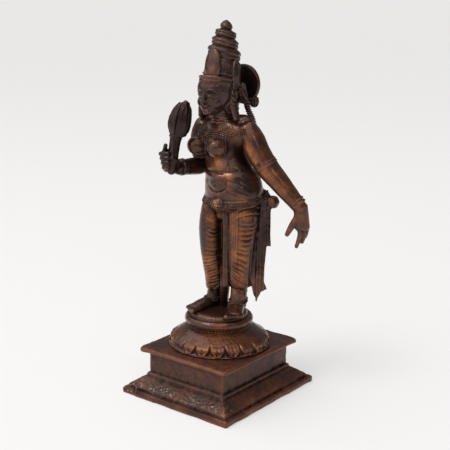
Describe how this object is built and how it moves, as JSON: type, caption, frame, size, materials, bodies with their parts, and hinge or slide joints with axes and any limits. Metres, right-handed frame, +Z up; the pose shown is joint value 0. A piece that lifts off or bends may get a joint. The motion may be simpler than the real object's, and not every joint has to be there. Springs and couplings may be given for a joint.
{
  "type": "bronze figure",
  "caption": "Small cast bronze goddess standing in a gentle sway with a flower bud in a raised hand, on a round lotus base and a square stepped plinth.",
  "frame": {"origin": "centre of the plinth's underside", "axes": "+Z up, the figure faces -Y, its hanging left arm is on the +X side"},
  "size_m": [0.0694, 0.0676, 0.1679],
  "materials": {
    "bronze": "dark brown patina, worn to copper red on the high parts",
    "plinth_bronze": "dull dark brown patina with pale deposits in the hollows"
  },
  "bodies": {
    "root": {"figure": "bronze", "plinth": "plinth_bronze"}
  },
  "joints": []
}
